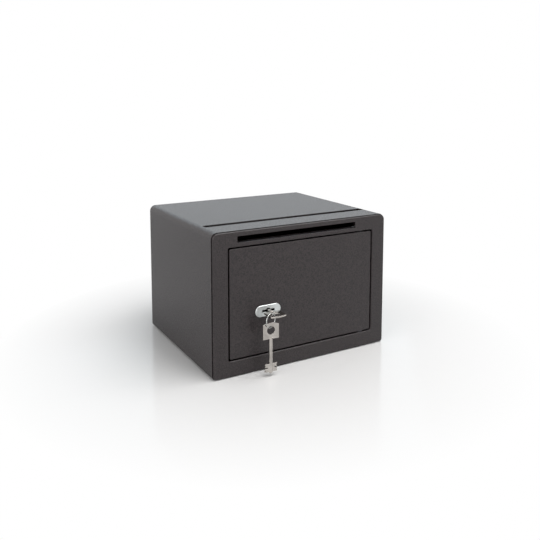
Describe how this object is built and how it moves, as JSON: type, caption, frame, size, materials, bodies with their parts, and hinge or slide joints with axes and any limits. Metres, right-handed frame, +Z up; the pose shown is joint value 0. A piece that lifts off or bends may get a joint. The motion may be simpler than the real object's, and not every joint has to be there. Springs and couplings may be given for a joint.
{
  "type": "security safe",
  "caption": "Small steel deposit safe with a front door, key-driven round bolts, front and top deposit slots, a key in the lock and a second key on its ring.",
  "frame": {"origin": "centre of the base, on the surface the safe stands on", "axes": "+X to the right seen from the front, +Y to the back, +Z up"},
  "size_m": [0.35, 0.3332, 0.245],
  "materials": {
    "body_paint": "fine textured powder coat",
    "door_paint": "fine textured powder coat",
    "bright_steel": "turned steel",
    "zinc_steel": "zinc plated sheet",
    "lock_brass": "stamped brass",
    "satin_plate": "satin",
    "key_nickel": "satin nickel",
    "ring_wire": "bright wire"
  },
  "bodies": {
    "safe_body": {"casing": "body_paint", "roof_panel": "body_paint", "roof_strip": "body_paint", "back_plate": "body_paint", "front_frame": "body_paint", "upper_hinge_plate": "body_paint", "lower_hinge_plate": "body_paint", "chute_ramp": "body_paint", "chute_deflector": "body_paint", "chute_cheek_left": "body_paint", "chute_cheek_right": "body_paint"},
    "door": {"door_panel": "door_paint", "upper_hinge_block": "door_paint", "lower_hinge_block": "door_paint", "upper_hinge_pin": "bright_steel", "lower_hinge_pin": "bright_steel", "hinge_washer": "bright_steel", "escutcheon": "satin_plate", "key_guide": "zinc_steel", "lock_case": "zinc_steel", "lock_cover": "zinc_steel", "lock_pillars": "bright_steel", "lock_screws": "bright_steel", "bearing_plate": "zinc_steel", "lever_1": "lock_brass", "lever_2": "lock_brass", "lever_3": "lock_brass", "lever_4": "lock_brass", "lever_5": "lock_brass", "lever_6": "lock_brass", "lever_7": "lock_brass", "lever_springs": "bright_steel", "lever_post": "lock_brass", "bolt_guide": "door_paint", "door_cover": "door_paint"},
    "bolts": {"lock_bolt": "zinc_steel", "bolt_bar": "zinc_steel", "lower_bolt": "bright_steel", "upper_bolt": "bright_steel", "bar_screws": "bright_steel"},
    "rotor": {"key_rotor": "lock_brass"},
    "key": {"key": "key_nickel"},
    "ring": {"key_ring": "ring_wire"},
    "spare_key": {"spare_key": "key_nickel"}
  },
  "joints": [
    {"name": "door_swing", "type": "hinge", "parent": "safe_body", "child": "door", "pos_m": [0.1251, -0.1382, 0.0274], "axis": [0, 0, 1], "range_deg": [0, 115]},
    {"name": "key_turn", "type": "hinge", "parent": "door", "child": "rotor", "pos_m": [-0.0727, 0, 0.103], "axis": [0, -1, 0], "range_deg": [0, 180]},
    {"name": "bolt_throw", "type": "slide", "parent": "door", "child": "bolts", "axis": [-1, 0, 0], "range_m": [0, 0.016]},
    {"name": "key_withdraw", "type": "slide", "parent": "rotor", "child": "key", "axis": [0, -1, 0], "range_m": [0, 0.06]},
    {"name": "ring_hang", "type": "hinge", "parent": "key", "child": "ring", "pos_m": [-0.08225, -0.17325, 0.103], "axis": [0, -1, 0], "range_deg": [-180, 0]},
    {"name": "spare_key_swing", "type": "hinge", "parent": "ring", "child": "spare_key", "pos_m": [-0.08225, -0.17325, 0.0827], "axis": [0.9063, 0.4226, 0], "range_deg": [-12, 12]}
  ],
  "couplings": [
    {"joint": "key_turn", "follows": "bolt_throw", "rad_per_m": 196.35},
    {"joint": "ring_hang", "follows": "bolt_throw", "rad_per_m": -196.35}
  ]
}
